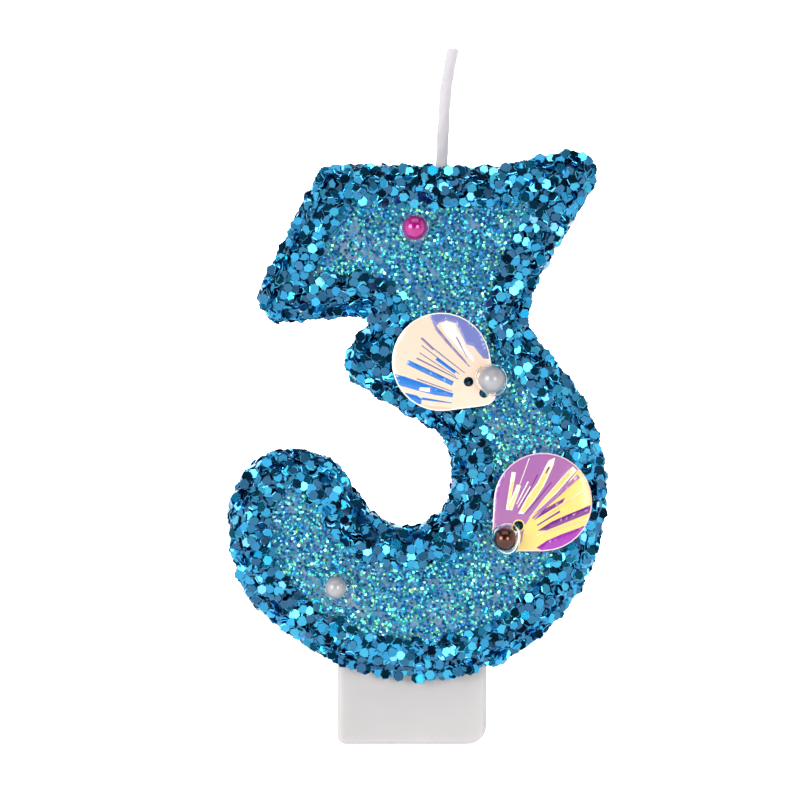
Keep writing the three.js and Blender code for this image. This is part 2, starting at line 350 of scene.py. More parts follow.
def oriented(found, place, axes):
    """Settled flakes in the frame's axes: their centres, and across, along and normal."""
    u, v, h, su, sv, turn = found.T
    centre = place(u, v, h)
    eu, ev, eh = axes(u)
    normal = unit(eh - su[:, None] * eu - sv[:, None] * ev)
    across = np.cos(turn)[:, None] * eu + np.sin(turn)[:, None] * ev
    across = unit(across - (across * normal).sum(1)[:, None] * normal)
    return centre, across, np.cross(normal, across), normal


def scattered(count, low, high, chance):
    """A few close places for each flake, out of count tries. chance says how likely one is kept."""
    spots = RNG.uniform(low, high, (count, 2))
    spots = spots[RNG.random(count) < chance(spots)]
    places = [spots]
    for _ in range(PLACES_TRIED - 1):
        other = spots + RNG.normal(0, TRIED_WITHIN, spots.shape)
        allowed = chance(other) > 0.3
        other[~allowed] = spots[~allowed]
        places.append(other)
    return np.stack(places, 1)


def step(x, low, high):
    """Rises smoothly from 0 at low to 1 at high."""
    t = np.clip((x - low) / (high - low), 0, 1)
    return t * t * (3 - 2 * t)


def bed_height(depth, lap, surface):
    """Height of the bed at a depth inside the outline: round at the edge, falling to a surface."""
    e = np.clip(1 - (depth - BED_WALL) / BED_ROUND_IN, 0, 1)
    heap = BED_FACE - BED_ROUND_DOWN + BED_ROUND_DOWN * np.sqrt(1 - e ** 2)
    fall = step(depth, lap - 1.1, lap + 0.1)
    return heap * (1 - fall) + surface * fall


def flat_face(sign):
    """Where flakes lie on a flat face, -1 for the front and 1 for the back: places and axes."""
    def place(u, v, h):
        return np.stack([u, sign * h, v], 1)

    def axes(u):
        one = np.ones((len(u), 1))
        return one * [1.0, 0, 0], one * [0, 0, 1.0], one * [0, sign, 0.0]

    return place, axes


def chunky_face(name, sign, surface, lap, count):
    """The flakes of one face's border. surface is the height under the inner edge of the border."""
    base = bed_height(DEPTH, lap, surface)
    base[DEPTH < BED_WALL] = BED_FACE - BED_ROUND_DOWN - 1

    def chance(spots):
        d = depth_at(spots)
        wander = 0.35 * np.sin(spots[:, 0] * 1.7) * np.cos(spots[:, 1] * 1.3)
        inner = 1 - step(d + wander, lap - 0.25, lap + 0.75)
        return np.where(d > BED_WALL - 0.25, inner, 0)

    spots = scattered(count, GRID_LO, GRID_HI, chance)
    sizes = CHUNKY * RNG.uniform(*CHUNKY_SPREAD, len(spots))
    found = settle(base, GRID_LO, CELL, spots, sizes, CHUNKY_THICK, wobble=0.28, steepest=1.05)
    placed = [*oriented(found, *flat_face(sign)), sizes]
    if sign < 0:
        clear = ~under_shell(*placed)
        placed = [part[clear] for part in placed]
    return flakes(name, *placed, CHUNKY_THICK, CHUNKY_RIM, RNG.random(len(placed[0])))


def under_shell(centre, across, along, normal, sizes):
    """Which flakes would come up through a shell sequin."""
    hit = np.zeros(len(centre), bool)
    for node in ("shell_sequin_upper", "shell_sequin_lower"):
        back = box_mm(node)[1][Y]
        outline = section(node, Y, back - SEQUIN_CUT)[0]
        grown = outline.mean(0) + (outline - outline.mean(0)) * 1.02
        for x, z in (*HEX, (0, 0)):
            corner = centre + (across * x + along * z) * sizes[:, None]
            hit |= polygon_holds(grown, corner[:, [0, 2]]) & (corner[:, Y] < back - 0.05)
    return hit


def lumps(run):
    """How uneven the heap is along the edge, in mm."""
    return 0.13 * np.sin(run * 1.9) + 0.11 * np.sin(run * 3.1 + 2 * np.sin(run * 0.37))


def chunky_edge(name, count):
    """The flakes round the edge, on a height grid that follows the outline."""
    spacing = np.hypot(*(np.roll(OUTLINE, -1, 0) - OUTLINE).T).mean()
    length = len(OUTLINE) * spacing
    tangent = unit(np.roll(OUTLINE, -1, 0) - np.roll(OUTLINE, 1, 0))
    half = BED_FACE - 0.4
    low = np.array([0.0, -half])
    shape = (int(length / CELL), int(2 * half / CELL) + 1)
    v = np.abs(-half + (np.arange(shape[1]) + 0.5) * CELL)
    over = np.clip(1 - (BED_FACE - v) / BED_ROUND_DOWN, 0, 1)
    wall = -BED_WALL - BED_ROUND_IN * (1 - np.sqrt(1 - over ** 2))
    base = wall[None] + lumps((np.arange(shape[0]) + 0.5) * CELL)[:, None]

    def along(u):
        at = np.mod(u / spacing, len(OUTLINE))
        i = at.astype(int)
        part = (at - i)[:, None]
        j = (i + 1) % len(OUTLINE)
        point = OUTLINE[i] * (1 - part) + OUTLINE[j] * part
        t = tangent[i] * (1 - part) + tangent[j] * part
        return point, unit(t)

    def chance(spots):
        point, _ = along(spots[:, 0])
        by_foot = np.abs(point[:, 0]) < FOOT_HALF + CLEAR_BESIDE_FOOT
        by_foot &= np.abs(spots[:, 1]) < FOOT_DEPTH + CLEAR_BEFORE_FOOT
        by_foot &= point[:, 1] < CRUST_LO[Z] + 3
        by_wick = np.hypot(point[:, 0] - WICK_EXIT[0], spots[:, 1]) < CLEAR_OF_WICK
        by_wick &= point[:, 1] > CRUST_HI[Z] - 6
        return np.where(by_foot | by_wick, 0, 1)

    spots = scattered(count, low, [length, half], chance)
    sizes = CHUNKY * RNG.uniform(*CHUNKY_SPREAD, len(spots))
    found = settle(base, low, CELL, spots, sizes, CHUNKY_THICK, wobble=0.22, steepest=0.75)

    def place(u, v, h):
        point, t = along(u)
        out = np.stack([t[:, 1], -t[:, 0]], 1)
        at = point + out * h[:, None]
        return np.stack([at[:, 0], v, at[:, 1]], 1)

    def axes(u):
        _, t = along(u)
        zero = np.zeros(len(u))
        eu = np.stack([t[:, 0], zero, t[:, 1]], 1)
        ev = np.repeat([[0, 1.0, 0]], len(u), 0)
        return eu, ev, np.stack([t[:, 1], zero, -t[:, 0]], 1)

    centre, across, upright, normal = oriented(found, place, axes)
    standing = RNG.random(len(found)) < STANDING
    found[standing, 2] = lumps(found[standing, 0]) - RNG.uniform(0.42, 0.8, standing.sum())
    nearer = np.sign(found[:, 1])
    ahead = np.where(RNG.random(len(found)) < 0.8, nearer, -nearer)
    lean, turn = RNG.normal(0, 0.29, (2, len(found)))
    facing = unit(np.stack([lean, ahead, turn], 1))
    turned = unit(np.cross(facing, upright * 0.2 + across))
    centre[standing] = place(*found[standing, :3].T)
    normal[standing] = facing[standing]
    across[standing] = turned[standing]
    upright[standing] = np.cross(facing, turned)[standing]
    placed = centre, across, upright, normal
    return flakes(name, *placed, sizes, CHUNKY_THICK, CHUNKY_RIM, RNG.random(len(sizes)))


def fine_faces(count):
    """Fine flakes on the gel of the front face, one mesh for each sort."""
    shape = (np.array(DEPTH.shape) - 1) * 2
    depth = DEPTH[np.ix_(np.arange(shape[0]) // 2, np.arange(shape[1]) // 2)]
    wave = np.add.outer(np.arange(shape[0]) * 0.11, np.arange(shape[1]) * 0.07)
    ripple = 0.04 * np.sin(depth * 2.1) + 0.03 * np.cos(wave)
    base = np.full(depth.shape, GEL_FRONT - 0.03) + ripple

    def chance(spots):
        x, z = spots.T
        drift = np.sin(x * 0.9 + 2 * np.sin(z * 0.4)) * np.sin(z * 0.75 + 1.5 * np.sin(x * 0.5))
        inner = step(depth_at(spots), LAP_FRONT - 0.9, LAP_FRONT - 0.4)
        return inner * (0.78 + 0.3 * drift)

    spots = scattered(count, GRID_LO, GRID_HI, chance)
    sizes = FINE * RNG.uniform(*FINE_SPREAD, len(spots))
    found = settle(base, GRID_LO, FINE_CELL, spots, sizes, FINE_THICK, wobble=0.2, steepest=0.6)
    whole = [*oriented(found, *flat_face(-1)), sizes]
    sort = RNG.random(len(sizes))
    made = []
    for name, low_sort, high_sort in FINE_SORTS:
        kind = (sort >= low_sort) & (sort < high_sort)
        placed = [part[kind] for part in whole]
        made.append(flakes(name, *placed, FINE_THICK, FINE_RIM, RNG.random(kind.sum())))
    return made


# ---- Bed under the chunky flakes ----

def ring_points(lap, spacing):
    """Points at even depths inside the outline, out to a lap, that don't pass its middle line."""
    normal = inward(OUTLINE)
    rows = []
    depth = BED_WALL + 0.12
    while depth < lap - 0.2:
        row = (OUTLINE + normal * depth)[::2]
        rows.append(row[depth_at(row) > depth - 0.12])
        depth += spacing + 0.1 * (depth - BED_WALL)
    return np.vstack(rows)


def annulus(outer, inner, filling):
    """Triangles between two loops. Returns the points, the first ones being the two loops' own."""
    count = len(outer), len(inner)
    points = [tuple(p) for p in (*outer, *inner, *filling)]
    edges = [(i, (i + 1) % count[0]) for i in range(count[0])]
    edges += [(count[0] + i, count[0] + (i + 1) % count[1]) for i in range(count[1])]
    verts, _, tris, *_ = geometry.delaunay_2d_cdt([Vector(p) for p in points], edges, [], 0, 1e-6)
    flat = np.array([tuple(v) for v in verts])
    tris = np.array([list(t) for t in tris])
    middle = flat[tris].mean(1)
    keep = polygon_holds(outer, middle) & ~polygon_holds(inner, middle)
    return flat, tris[keep]


def glitter_bed():
    """The glue and lowest flakes under the heap: a closed jacket round the edge of the wax."""
    outer = (OUTLINE + inward(OUTLINE) * BED_WALL)[::2]
    points, faces = [], []

    def add(flat, height, triangles, facing):
        start = sum(len(p) for p in points)
        points.append(np.stack([flat[:, 0], height, flat[:, 1]], 1))
        for t in triangles:
            a, b, c = flat[t]
            turned = (b[0] - a[0]) * (c[1] - a[1]) - (b[1] - a[1]) * (c[0] - a[0]) > 0
            t = [int(k) + start for k in t]
            faces.append(t if turned == facing else t[::-1])
        return start

    sink = WAX_BACK - 0.25
    starts = []
    front = (-1, FRONT_WINDOW, LAP_FRONT, GEL_FRONT - 0.2)
    back = (1, BACK_WINDOW, LAP_BACK, WAX_BACK)
    for sign, window, lap, surface in (front, back):
        flat, tris = annulus(outer, window, ring_points(lap, 0.25))
        depth = depth_at(flat)
        depth[:len(outer)] = BED_WALL
        top = add(flat, sign * bed_height(depth, lap, surface), tris, sign < 0)
        under_flat, under_tris = annulus(CORE, window, [])
        under = add(under_flat, np.full(len(under_flat), sign * sink), under_tris, sign > 0)
        rim, core = len(outer), len(CORE)
        for i in range(len(window)):
            j = (i + 1) % len(window)
            wall = [top + rim + i, under + core + i, under + core + j, top + rim + j]
            faces.append(wall if sign > 0 else wall[::-1])
        starts.append((top, under))
    (top_a, under_a), (top_b, under_b) = starts
    for i in range(len(outer)):
        j = (i + 1) % len(outer)
        faces.append([top_a + i, top_a + j, top_b + j, top_b + i])
    for i in range(len(CORE)):
        j = (i + 1) % len(CORE)
        faces.append([under_b + i, under_b + j, under_a + j, under_a + i])
    return mesh_object("glitter_bed", np.vstack(points), faces)


# ---- Wick ----

def waxed_wick(radius):
    """A waxed braid: three soft strands under a skin of wax, thicker where it leaves the candle."""
    rings, sides = 150, 28
    at = np.linspace(0, 1, rings)
    run = np.linspace(0, 1, len(WICK_LINE))
    centre = np.stack([np.interp(at, run, WICK_LINE[:, k]) for k in range(3)], 1)
    length = WICK_LINE[-1, Z] - WICK_LINE[0, Z]
    angle = np.arange(sides) * 2 * math.pi / sides
    z = at * length
    twist = np.cos(3 * angle[None] - 2.1 * z[:, None])
    uneven = 0.02 * np.sin(z * 1.3) + 0.015 * np.sin(z * 2.9 + 1)
    meniscus = 0.12 * np.exp(-np.abs(centre[:, Z] - CRUST_HI[Z] + 1.8) / 0.5)
    tip = np.sqrt(np.clip(1 - np.clip((at - 0.988) / 0.012, 0, 1) ** 2, 0, 1))
    r = radius * (1 + 0.035 * twist + (uneven + meniscus)[:, None]) * (0.25 + 0.75 * tip)[:, None]
    x = centre[:, :1] + r * np.cos(angle)
    y = centre[:, 1:2] + r * np.sin(angle)
    points = np.stack([x, y, np.repeat(centre[:, 2:], sides, 1)], 2).reshape(-1, 3)
    faces = [
        [a * sides + b, a * sides + c, (a + 1) * sides + c, (a + 1) * sides + b]
        for a in range(rings - 1)
        for b, c in zip(range(sides), [*range(1, sides), 0])
    ]
    faces.append(list(range(sides - 1, -1, -1)))
    faces.append([(rings - 1) * sides + b for b in range(sides)])
    return mesh_object("wick_braid", points, faces, smooth=True)


# ---- Shell sequins ----

SEQUIN_CUT = 0.08  # a sequin's outline is taken this far before its back
HOLE_RADIUS = 0.57
HOLE_RING = 0.16
# width of the band round a sequin's edge that is painted in a pale tint as a highlight
PAINTED_RIM_HIGHLIGHT_WIDTH = 0.14
FILM = 0.12
RAYS_FROM = -7.2  # where the rays would meet, below the fan's middle


def sequin_frame(node):
    """A sequin's fan centre, its direction from hinge to fan, its radius, and its hole centres."""
    outline, *holes = section(node, Y, box_mm(node)[1][Y] - SEQUIN_CUT)
    middles = [(h.max(0) + h.min(0)) / 2 for h in holes]
    centre = outline.mean(0)
    middles.sort(key=lambda m: -np.hypot(*(m - centre)))
    axis = middles[1] - middles[0]
    axis /= np.hypot(*axis)
    across = np.array([axis[1], -axis[0]])
    side = outline @ across
    radius = (side.max() - side.min()) / 2
    middle = across * (side.max() + side.min()) / 2 + axis * ((outline @ axis).max() - radius)
    holes = [np.array([(m - middle) @ across, (m - middle) @ axis]) for m in middles]
    return middle, axis, across, radius, holes


def level(index):
    """The tint value that picks a colour of a film's eight."""
    return index / 8 + 0.06


def fan_place(angle, reach):
    """The place at an angle in degrees and a reach from where the rays meet."""
    a = math.radians(angle)
    return np.array([math.sin(a) * reach, RAYS_FROM + math.cos(a) * reach])


def ray(a0, r0, w0, a1, r1, w1, tint, rise):
    """A straight ray from one angle and reach to another, with a width at each end."""
    p, q = fan_place(a0, r0), fan_place(a1, r1)
    along = (q - p) / np.hypot(*(q - p))
    side = np.array([along[1], -along[0]])
    near, far = side * w0 / 2, side * w1 / 2
    return np.array([p - near, q - far, q + far, p + near]), tint, rise


def patch(tint, rise, *corners):
    """A flat patch with corners at angles and reaches round the rays' centre."""
    return np.array([fan_place(a, r) for a, r in corners]), tint, rise


def shell(name, node, shapes, hole_tint):
    """A pressed film shell: a shallow dome with raised rays and patches, each of its own tint.

    The later shapes lie over the earlier ones. hole_tint is the tint round the holes.
    """
    middle, axis, across, radius, holes = sequin_frame(node)
    back = box_mm(node)[1][Y]
    loop = resampled(section(node, Y, back - SEQUIN_CUT)[0], 0.2, 2) - middle
    outline = anticlockwise(np.stack([loop @ across, loop @ axis], 1))
    inside = outline + inward(outline) * PAINTED_RIM_HIGHLIGHT_WIDTH
    circle = on_circle(np.arange(32) * math.pi / 16)
    loops = [outline, inside]
    for hole in holes:
        loops += [hole + circle * HOLE_RADIUS, hole + circle * (HOLE_RADIUS + HOLE_RING)]
    loops += [corners for corners, _, _ in shapes]
    points, edges = [], []
    for ring in loops:
        start = len(points)
        points += [tuple(p) for p in ring]
        edges += [(start + i, start + (i + 1) % len(ring)) for i in range(len(ring))]
    grid = np.meshgrid(np.arange(-radius, radius, 0.3), np.arange(-9, radius, 0.3))
    grid = np.stack(grid, -1).reshape(-1, 2)
    points += [tuple(p) for p in grid + RNG.uniform(-0.04, 0.04, grid.shape)]
    verts, _, tris, *_ = geometry.delaunay_2d_cdt([Vector(p) for p in points], edges, [], 0, 1e-5)
    flat = np.array([tuple(v) for v in verts])
    tris = np.array([list(t) for t in tris])
    mid = flat[tris].mean(1)
    keep = polygon_holds(outline, mid)
    for hole in holes:
        keep &= np.hypot(*(mid - hole).T) > HOLE_RADIUS * 0.98
    tris, mid = tris[keep], mid[keep]
    tints = np.full(len(mid), level(0))
    rise = np.zeros(len(flat))
    for corners, tint, up in shapes:
        tints[polygon_holds(corners, mid)] = tint
        held = polygon_holds(corners, flat)
        slant = np.clip(gap_to(flat[held], corners) / 0.22, 0, 1)
        rise[held] = up * slant
    # The band round the edge takes the eighth tint: a painted highlight for the thin pale line that
    # light draws along the glossy rim.
    rim = ~polygon_holds(inside, mid)
    tints[rim] = level(7)
    for hole in holes:
        tints[np.hypot(*(mid - hole).T) < HOLE_RADIUS + HOLE_RING - 0.01] = hole_tint
    gap = gap_to(flat, outline)
    r = np.hypot(flat[:, 0], flat[:, 1] + 1)
    dome = 0.26 + 0.42 * np.clip(1 - (r / (radius + 0.8)) ** 2, 0, 1)
    lift = dome + rise - 0.1 * (1 - step(gap, 0, 0.3))
    used, tris = np.unique(tris, return_inverse=True)
    tris = tris.reshape(-1, 3)
    flat, lift = flat[used], lift[used]
    world = middle + flat[:, :1] * across + flat[:, 1:] * axis
    upper = np.stack([world[:, 0], back - lift, world[:, 1]], 1)
    lower = upper + [0, FILM, 0]
    a, b, c = (upper[tris[:, k]] for k in range(3))
    wrong = np.cross(b - a, c - a)[:, Y] > 0
    tris[wrong] = tris[wrong][:, ::-1]
    count = len(flat)
    faces = tris.tolist()
    used_edges = {(f[k], f[(k + 1) % 3]) for f in faces for k in range(3)}
    rims = sorted(edge for edge in used_edges if edge[::-1] not in used_edges)
    faces += (tris[:, ::-1] + count).tolist()
    faces += [[j, i, i + count, j + count] for i, j in rims]
    # The film's cut edges take the same eighth tint, also a painted highlight.
    values = np.concatenate([tints, tints, np.full(len(rims), level(7))])
    return mesh_object(name, np.vstack([upper, lower]), faces, attributes={"tint": values})


# ---- Pearls and glue ----

def revolved(name, profile, centre, segments=48, warp=None):
    """A body turned about the axis towards the front.

    profile holds (radius, height) from pole to pole, and warp says how far a ring is out of round.
    """
    profile = np.array(profile)
    angle = np.arange(segments) * 2 * math.pi / segments
    points, faces = [], []
    for r, h in profile[1:-1]:
        wide = r * (1 + (warp(angle) if warp else 0))
        ring = [wide * np.cos(angle), np.full(segments, -h), wide * np.sin(angle)]
        points += np.stack(ring, 1).tolist()
    rings = len(profile) - 2
    for a in range(0, (rings - 1) * segments, segments):
        for b in range(segments):
            c = (b + 1) % segments
            faces.append([a + b, a + segments + b, a + segments + c, a + c])
    points.append([0, -profile[0][1], 0])
    points.append([0, -profile[-1][1], 0])
    foot, head = len(points) - 2, len(points) - 1
    faces += [[foot, b, (b + 1) % segments] for b in range(segments)]
    last = (rings - 1) * segments
    faces += [[head, last + (b + 1) % segments, last + b] for b in range(segments)]
    return mesh_object(name, np.array(points) + centre, faces, smooth=True)


def pearl(name, node):
    lo, hi = box_mm(node)
    radius = (hi[Z] - lo[Z]) / 2
    turn = np.linspace(0, math.pi, 33)
    profile = [(radius * math.sin(a), -radius * math.cos(a)) for a in turn]
    return revolved(name, profile, (lo + hi) / 2, 64)


def glue_blob(name, x, z, surface, radius, height):
    """A clear drop of glue that wets the surface, flatter towards its rim."""
    turn = np.linspace(0, math.pi / 2, 12)
    profile = [(0, -0.12), (radius * 0.6, -0.12), (radius * 0.97, -0.1)]
    profile += [(radius * math.cos(a), height * math.sin(a) ** 1.3) for a in turn[:-1]]
    profile.append((0, height))

    def warp(angle):
        return 0.06 * np.sin(angle * 2 + x) + 0.036 * np.sin(angle * 3 + z)

    return revolved(name, profile, np.array([x, -surface, z]), 48, warp)


# ---- Materials ----

class Look:
    """A node material: a Principled shader, with helpers that add procedural nodes to it."""

    def __init__(self, name, **values):
        self.material = bpy.data.materials.new(name)
        self.material.use_nodes = True
        self.tree = self.material.node_tree
        self.shader = self.tree.nodes["Principled BSDF"]
        for key, value in values.items():
            self.shader.inputs[key.replace("_", " ")].default_value = value

    def node(self, kind, **inputs):
        node = self.tree.nodes.new(kind)
        for key, value in inputs.items():
            node.inputs[key.replace("_", " ")].default_value = value
        return node

    def link(self, source, target):
        self.tree.links.new(source, target)

    def ramp(self, factor, colours, steps=False):
        """A colour ramp of (place, colour) stops, in sRGB hex."""
        node = self.tree.nodes.new("ShaderNodeValToRGB")
        node.color_ramp.interpolation = "CONSTANT" if steps else "LINEAR"
        elements = node.color_ramp.elements
        while len(elements) < len(colours):
            elements.new(0.5)
        for element, (place, colour) in zip(elements, colours):
            element.position = place
            element.color = linear(colour)
        self.link(factor, node.inputs["Fac"])
        return node.outputs["Color"]

    def tint(self):
        node = self.tree.nodes.new("ShaderNodeAttribute")
        node.attribute_name = "tint"
        return node.outputs["Fac"]

    def noise(self, scale, detail=3.0):
        place = self.tree.nodes.new("ShaderNodeTexCoord")
        node = self.node("ShaderNodeTexNoise", Scale=scale, Detail=detail)
        self.link(place.outputs["Object"], node.inputs["Vector"])
        return node.outputs["Fac"]

    def bump(self, height, strength, distance):
        node = self.node("ShaderNodeBump", Strength=strength, Distance=distance)
        self.link(height, node.inputs["Height"])
        self.link(node.outputs["Normal"], self.shader.inputs["Normal"])

    def mixed(self, factor, a, b, kind="MIX"):
        node = self.tree.nodes.new("ShaderNodeMix")
        node.data_type = "RGBA"
        node.blend_type = kind
        for socket, value in zip((node.inputs[0], node.inputs[6], node.inputs[7]), (factor, a, b)):
            if isinstance(value, bpy.types.NodeSocket):
                self.link(value, socket)
            else:
                socket.default_value = value
        return node.outputs[2]

    def colour(self, source):
        self.link(source, self.shader.inputs["Base Color"])
        return self


def linear(colour):
    """An sRGB hex colour as linear RGBA."""
    parts = [int(colour[k:k + 2], 16) / 255 for k in (1, 3, 5)]
    return (*(c / 12.92 if c < 0.04045 else ((c + 0.055) / 1.055) ** 2.4 for c in parts), 1.0)


def even(*colours):
    """Ramp stops that give each colour an equal part of the tints."""
    return [(k / len(colours), c) for k, c in enumerate(colours)]


def foil_look(name, colours, **values):
    """Flakes of foil, each in one of the colours."""
    look = Look(name, **values)
    return look.colour(look.ramp(look.tint(), colours, steps=True))


def gel_look():
    look = Look("gel", Roughness=0.35, Coat_Weight=0.6)
    cloud = look.ramp(look.noise(230.0), [(0.3, "#165a82"), (0.52, "#37769a"), (0.7, "#7587a8")])
    grain = look.ramp(look.noise(2600.0, 1.0), [(0.42, "#083c5c"), (0.55, "#5689a6")])
    look.colour(look.mixed(0.45, cloud, grain))
    look.bump(look.noise(1500.0), 0.4, 0.0001)
    return look


def bed_look():
    look = Look("crust_bed", Metallic=0.4, Roughness=0.4)
    look.colour(look.ramp(look.noise(1400.0), [(0.35, "#04283f"), (0.6, "#0b5079")]))
    look.bump(look.noise(1800.0), 0.6, 0.0002)
    return look


def wax_look():
    look = Look("wax", Roughness=0.42, Subsurface_Weight=0.35, Subsurface_Scale=0.004)
    look.shader.inputs["Subsurface Radius"].default_value = (1.0, 0.9, 0.85)
    look.colour(look.ramp(look.noise(90.0), [(0.3, "#b3b0b0"), (0.7, "#bab7b7")]))
    look.bump(look.noise(160.0), 0.25, 0.0004)
    return look


def wick_look():
    look = Look("waxed_cotton", Roughness=0.55, Subsurface_Weight=1.0, Subsurface_Scale=0.003)
    look.shader.inputs["Subsurface Radius"].default_value = (1.0, 0.9, 0.9)
    look.colour(look.ramp(look.noise(500.0), [(0.3, "#b0afb3"), (0.7, "#b8b7bb")]))
    look.bump(look.noise(900.0), 0.3, 0.0001)
    return look


def glue_look():
    look = Look("clear_glue", Roughness=0.06, Transmission_Weight=1.0, IOR=1.46)
    look.colour(look.ramp(look.noise(400.0), [(0.4, "#eef4f6"), (0.6, "#f8fbfc")]))
    return look


def pearl_look(name, dark, light, metallic, roughness=0.22):
    look = Look(
        name, Roughness=roughness, Metallic=metallic, Coat_Weight=0.8, Coat_Roughness=0.08
    )
    return look.colour(look.ramp(look.noise(300.0), [(0.3, dark), (0.7, light)]))


CHUNKY_FOIL = even(
    "#005c86", "#0576a4", "#0a8aba", "#036a92", "#1398ca", "#01527a", "#0e90c2", "#2aa8ce"
)
FINE_BLUE = even(
    "#0d6296", "#1c7aa2", "#085088", "#2a8fb2", "#105080", "#4298b6", "#1e58a2", "#5684b2"
)
FINE_PALE = even(
    "#4fdcb4", "#7aeab0", "#3fccc4", "#a4f0a0", "#52ccd8", "#8aecc4", "#5fd8b8", "#98e8d4"
)
# The eighth colour of each film goes on the sequin's rim band and cut edges as a painted highlight.
UPPER_FILM = even(
    "#e6cfb9", "#7e789e", "#eee6e0", "#6e79b8", "#787892", "#1a73ca", "#e6b6a0", "#f6efe8"
)
LOWER_FILM = even(
    "#a268a2", "#eeead6", "#e8d072", "#9b58a8", "#742784", "#9722a4", "#b884b4", "#e6c8d4"
)


def film_look(name, colours):
    look = Look(name, Roughness=0.2, Coat_Weight=0.7, Coat_Roughness=0.05)
    base = look.ramp(look.tint(), colours, steps=True)
    veil = look.ramp(look.noise(180.0), [(0.35, "#f6f4ff"), (0.65, "#fff4ee")])
    return look.colour(look.mixed(0.5, base, veil, "MULTIPLY"))


# ---- Building ----

def piece(obj, look, slot, *nodes):
    """Finishes a piece: its look and the CAD nodes it stands for. slot is not used."""
    obj.data.materials.clear()
    obj.data.materials.append(look.material)
    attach(obj, "root")
    if nodes:
        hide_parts(*nodes)


def dress(node, look):
    """Gives a CAD node that is kept its look."""
    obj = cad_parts[node]
    obj.data.materials.clear()
    obj.data.materials.append(look.material)
    return obj


chunky = foil_look(
    "chunky_foil", CHUNKY_FOIL,
    Metallic=1.0, Roughness=0.15, Coat_Weight=0.7, Coat_Roughness=0.08, Coat_IOR=1.58,
)
fine_blue = foil_look("fine_blue_foil", FINE_BLUE, Metallic=0.9, Roughness=0.3)
fine_pale = foil_look("fine_pale_film", FINE_PALE, Metallic=0.75, Roughness=0.22)
glue = glue_look()

wax = dress("wax_figure", wax_look())
melt = wax.modifiers.new("melt", "REMESH")
melt.mode = "VOXEL"
melt.voxel_size = 0.35 * MM
melt.use_smooth_shade = True
soften = wax.modifiers.new("soften", "SMOOTH")
soften.iterations = 4

dress("fine_glitter_face", gel_look())
for node in ("edge_glue_coat", "glue_pad_upper", "glue_pad_lower"):
    dress(node, glue)

ON_GEL = GEL_FRONT + 0.05
ON_WAX_BACK = WAX_BACK + 0.02
ON_SEQUIN = -box_mm("shell_sequin_upper")[0][Y]
piece(glitter_bed(), bed_look(), "chunky_glitter", "chunky_glitter_border")
piece(chunky_face("glitter_front", -1, ON_GEL, LAP_FRONT, 11000), chunky, "chunky_glitter")
piece(chunky_face("glitter_back", 1, ON_WAX_BACK, LAP_BACK, 9000), chunky, "chunky_glitter")
piece(chunky_edge("glitter_edge", 8200), chunky, "chunky_glitter")
for made, look in zip(fine_faces(62000), (fine_blue, fine_blue, fine_pale)):
    piece(made, look, "fine_glitter")

piece(waxed_wick(0.7), wick_look(), "wick", "wick")

# The films' rays and patches, each with its colour and how far it is raised. Angles and reaches
# are those of fan_place.
UPPER_SHAPES = [
    patch(
        level(6), 0.0, (-39, 10.6), (-44, 9.0), (-50.5, 6.8), (-57, 4.6), (-50, 4.8), (-44, 7.0),
        (-40, 8.6),
    ),
    patch(
        level(3), 0.1, (16.8, 11.5), (17.5, 12.4), (24.7, 12.2), (30.7, 11.5), (37, 10.3),
        (43.3, 8.8), (48.8, 7.1), (52.5, 5.5), (51, 4.6), (43.5, 4.7), (38.2, 5.6), (35.5, 6.4),
        (29.6, 6.9), (29.2, 8.2), (29, 9.7), (24.2, 10.5), (19.6, 10.7), (17, 10.6),
    ),
    patch(
        level(1), 0.08, (16.6, 11.5), (17, 10.5), (17.2, 9.3), (17.9, 7.4), (19.6, 5.7),
        (20.9, 4.4), (18.6, 4.5), (16.1, 6.4), (15.0, 8.4), (14.8, 10.3),
    ),
    patch(
        level(2), 0.12, (19.9, 10.5), (24.2, 10.4), (28.4, 9.6), (27.5, 8.8), (28.6, 8.0),
        (28.0, 6.9), (31, 5.2), (29, 4.6), (25.5, 5.6), (21.6, 6.6), (20.9, 7.5), (18.8, 9.2),
    ),
    ray(23.6, 5.4, 0.06, 24.6, 8.2, 0.16, level(1), -0.06),
    ray(8.0, 4.2, 0.1, 4.6, 9.2, 0.18, level(4), -0.1),
    ray(4.3, 8.8, 0.3, 4.8, 10.8, 0.3, level(1), 0.06),
    ray(0.9, 4.6, 0.1, 1.2, 10.2, 0.14, level(4), -0.06),
    ray(-0.2, 5.1, 0.4, -0.2, 7.9, 0.38, level(5), 0.1),
    ray(-4.6, 4.8, 0.08, -3.6, 9.9, 0.14, level(1), -0.06),
    ray(-6.2, 4.4, 0.12, -7.8, 9.9, 0.2, level(4), -0.08),
    ray(-15.4, 4.75, 0.55, -12.8, 10.7, 0.6, level(5), 0.12),
    ray(-26.5, 4.6, 0.1, -21.4, 9.0, 0.16, level(1), -0.06),
    patch(
        level(5), 0.12, (-22.0, 11.6), (-22.1, 10.4), (-23.0, 8.8), (-24.3, 7.2), (-29.4, 4.4),
        (-35.4, 4.5), (-33.1, 6.6), (-30.8, 8.3), (-29.1, 9.8), (-28.0, 11.2),
    ),
    patch(level(2), 0.14, (-27.4, 8.4), (-26.6, 7.2), (-31.0, 7.2), (-30.0, 8.5)),
    patch(
        level(5), 0.1, (-32.0, 10.7), (-34.2, 8.7), (-37.0, 8.1), (-41.1, 8.2), (-40.8, 9.6),
        (-37.0, 10.4),
    ),
    ray(-43.6, 4.6, 0.1, -36.6, 8.1, 0.3, level(5), 0.08),
]
